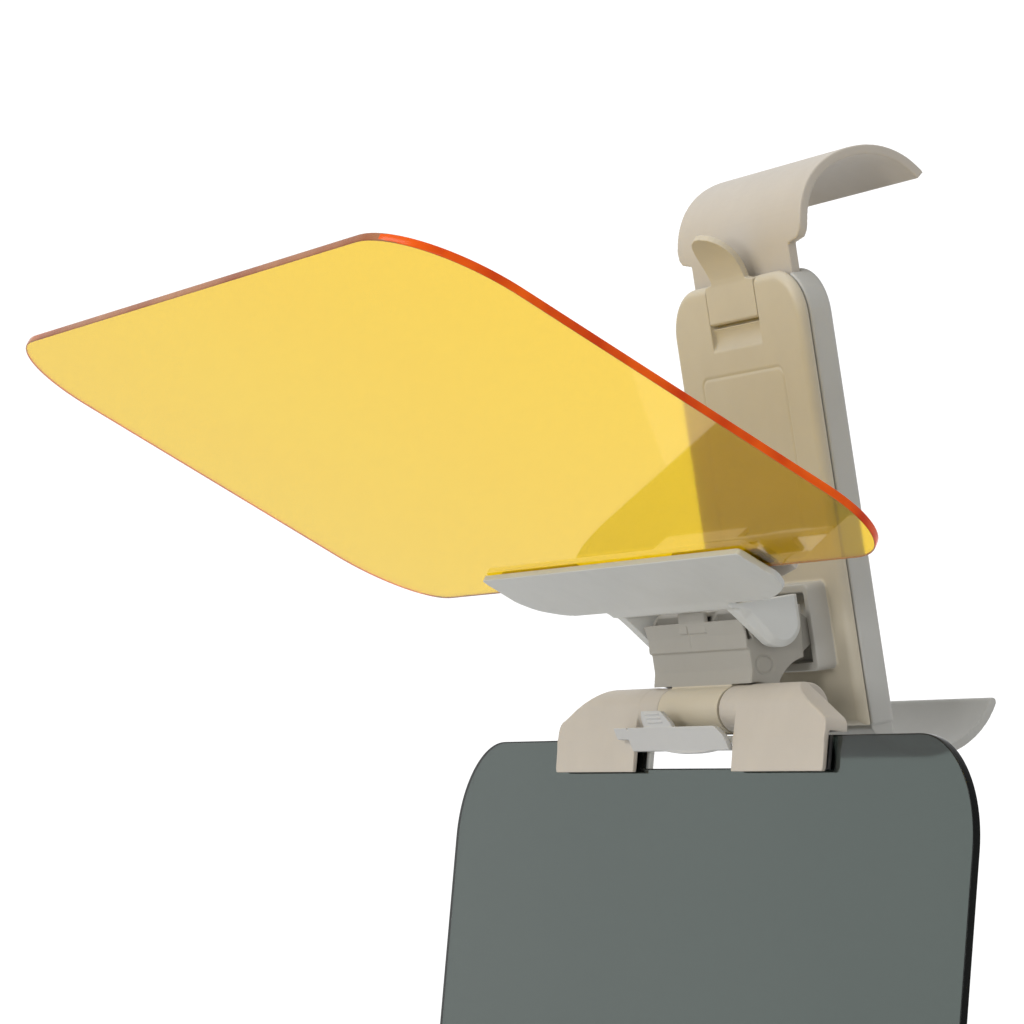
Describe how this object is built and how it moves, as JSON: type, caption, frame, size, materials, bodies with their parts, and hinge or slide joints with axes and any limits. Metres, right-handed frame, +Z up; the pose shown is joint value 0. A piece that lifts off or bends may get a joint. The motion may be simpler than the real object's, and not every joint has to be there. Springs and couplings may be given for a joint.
{
  "type": "clip-on day and night car visor",
  "caption": "Telescopic clip that grips a car's sun visor, with a hinged amber night lens folded up and a hinged smoke-grey day lens hanging down",
  "frame": {"origin": "centre of the clip's flat back face, where it lies against the car's own visor", "axes": "+Z up the clip, +Y from the clip towards the car's visor, +X to the driver's right along the hinge axes"},
  "size_m": [0.31, 0.2182, 0.3133],
  "materials": {
    "beige_abs": "fine matt moulded texture",
    "grey_abs": "fine matt moulded texture",
    "light_grey_abs": "fine matt moulded texture",
    "amber_acrylic": "clear tinted acrylic, polished",
    "smoke_acrylic": "dark tinted acrylic, polished",
    "steel": "turned steel",
    "black_rubber": "matt black rubber"
  },
  "bodies": {
    "clip": {"front_shell": "beige_abs", "rear_shell": "grey_abs", "shell_screw_1": "steel", "shell_screw_2": "steel", "shell_screw_3": "steel", "shell_screw_4": "steel", "lever_pin": "steel", "tilt_pin": "steel"},
    "sliding_hook": {"upper_hook": "beige_abs"},
    "lever": {"lock_lever": "beige_abs"},
    "arm": {"arm_bracket": "beige_abs", "night_hinge_pin": "steel", "day_hinge_pin": "steel", "night_washer_left": "steel", "night_washer_right": "steel", "day_washer": "steel"},
    "night_visor": {"night_lens": "amber_acrylic", "night_back_jaw": "light_grey_abs", "night_front_jaw": "beige_abs", "night_pad_left": "black_rubber", "night_pad_right": "black_rubber"},
    "day_visor": {"day_lens": "smoke_acrylic", "day_front_jaw": "beige_abs", "day_back_jaw": "light_grey_abs", "day_pad_left": "black_rubber", "day_pad_right": "black_rubber"},
    "catch": {"day_catch": "light_grey_abs"}
  },
  "joints": [
    {"name": "hook_slide", "type": "slide", "parent": "clip", "child": "sliding_hook", "axis": [0, 0, 1], "range_m": [-0.0065, 0.028]},
    {"name": "lever_hinge", "type": "hinge", "parent": "clip", "child": "lever", "pos_m": [0, -0.0099, 0.0547], "axis": [1, 0, 0], "range_deg": [0, 45]},
    {"name": "arm_tilt", "type": "hinge", "parent": "clip", "child": "arm", "pos_m": [0, -0.0158, -0.0367], "axis": [-1, 0, 0], "range_deg": [-6, 6]},
    {"name": "night_hinge", "type": "hinge", "parent": "arm", "child": "night_visor", "pos_m": [0, -0.032, -0.033], "axis": [-1, 0, 0], "range_deg": [-67.5, 40]},
    {"name": "day_hinge", "type": "hinge", "parent": "arm", "child": "day_visor", "pos_m": [0, -0.0385, -0.056], "axis": [-1, 0, 0], "range_deg": [-15, 70]},
    {"name": "catch_press", "type": "hinge", "parent": "day_visor", "child": "catch", "pos_m": [0, -0.04335, -0.06484], "axis": [1, 0, 0], "range_deg": [0, 8], "stiffness_Nm_per_rad": 0.2}
  ]
}
